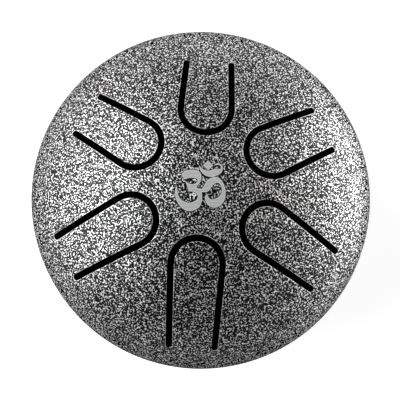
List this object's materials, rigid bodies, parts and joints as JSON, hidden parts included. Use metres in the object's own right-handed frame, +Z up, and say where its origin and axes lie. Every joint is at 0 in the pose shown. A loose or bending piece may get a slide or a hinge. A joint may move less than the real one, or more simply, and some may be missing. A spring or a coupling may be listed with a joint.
{
  "type": "steel tongue drum",
  "caption": "Small round steel tongue drum with tuned tongues cut in its domed top, a sound hole underneath and rubber feet.",
  "frame": {"origin": "on the floor under the middle of the drum", "axes": "+Z up, -Y toward the player, +X to the player's right"},
  "size_m": [0.14, 0.14, 0.0805],
  "materials": {
    "coat": "silver vein powder coat over steel, satin",
    "rubber": "moulded black rubber, matte",
    "zinc": "zinc plated steel"
  },
  "bodies": {
    "drum": {"top_shell": "coat", "bottom_shell": "coat", "rim_weld": "coat", "foot_back": "rubber", "foot_left": "rubber", "foot_right": "rubber", "foot_washer_back": "zinc", "foot_washer_left": "zinc", "foot_washer_right": "zinc", "foot_screw_back": "zinc", "foot_screw_left": "zinc", "foot_screw_right": "zinc", "foot_nut_back": "zinc", "foot_nut_left": "zinc", "foot_nut_right": "zinc"},
    "tongue_1": {"tongue_1": "coat"},
    "tongue_2": {"tongue_2": "coat"},
    "tongue_3": {"tongue_3": "coat"},
    "tongue_4": {"tongue_4": "coat"},
    "tongue_5": {"tongue_5": "coat"},
    "tongue_6": {"tongue_6": "coat"}
  },
  "joints": [
    {"name": "tongue_1_bend", "type": "hinge", "parent": "drum", "child": "tongue_1", "pos_m": [0.04564, 0.02276, 0.0673], "axis": [-0.4462, 0.8949, 0], "range_deg": [-1, 1], "stiffness_Nm_per_rad": 121},
    {"name": "tongue_2_bend", "type": "hinge", "parent": "drum", "child": "tongue_2", "pos_m": [0.00293, 0.04791, 0.0688], "axis": [-0.9981, 0.061, 0], "range_deg": [-1, 1], "stiffness_Nm_per_rad": 133},
    {"name": "tongue_3_bend", "type": "hinge", "parent": "drum", "child": "tongue_3", "pos_m": [-0.04295, 0.02842, 0.06703], "axis": [-0.5519, -0.8339, 0], "range_deg": [-1, 1], "stiffness_Nm_per_rad": 119},
    {"name": "tongue_4_bend", "type": "hinge", "parent": "drum", "child": "tongue_4", "pos_m": [-0.05056, -0.02521, 0.06424], "axis": [0.4462, -0.8949, 0], "range_deg": [-1, 1], "stiffness_Nm_per_rad": 103},
    {"name": "tongue_5_bend", "type": "hinge", "parent": "drum", "child": "tongue_5", "pos_m": [-0.00357, -0.05839, 0.06302], "axis": [0.9981, -0.061, 0], "range_deg": [-1, 1], "stiffness_Nm_per_rad": 97},
    {"name": "tongue_6_bend", "type": "hinge", "parent": "drum", "child": "tongue_6", "pos_m": [0.04545, -0.03008, 0.0654], "axis": [0.5519, 0.8339, 0], "range_deg": [-1, 1], "stiffness_Nm_per_rad": 109}
  ]
}
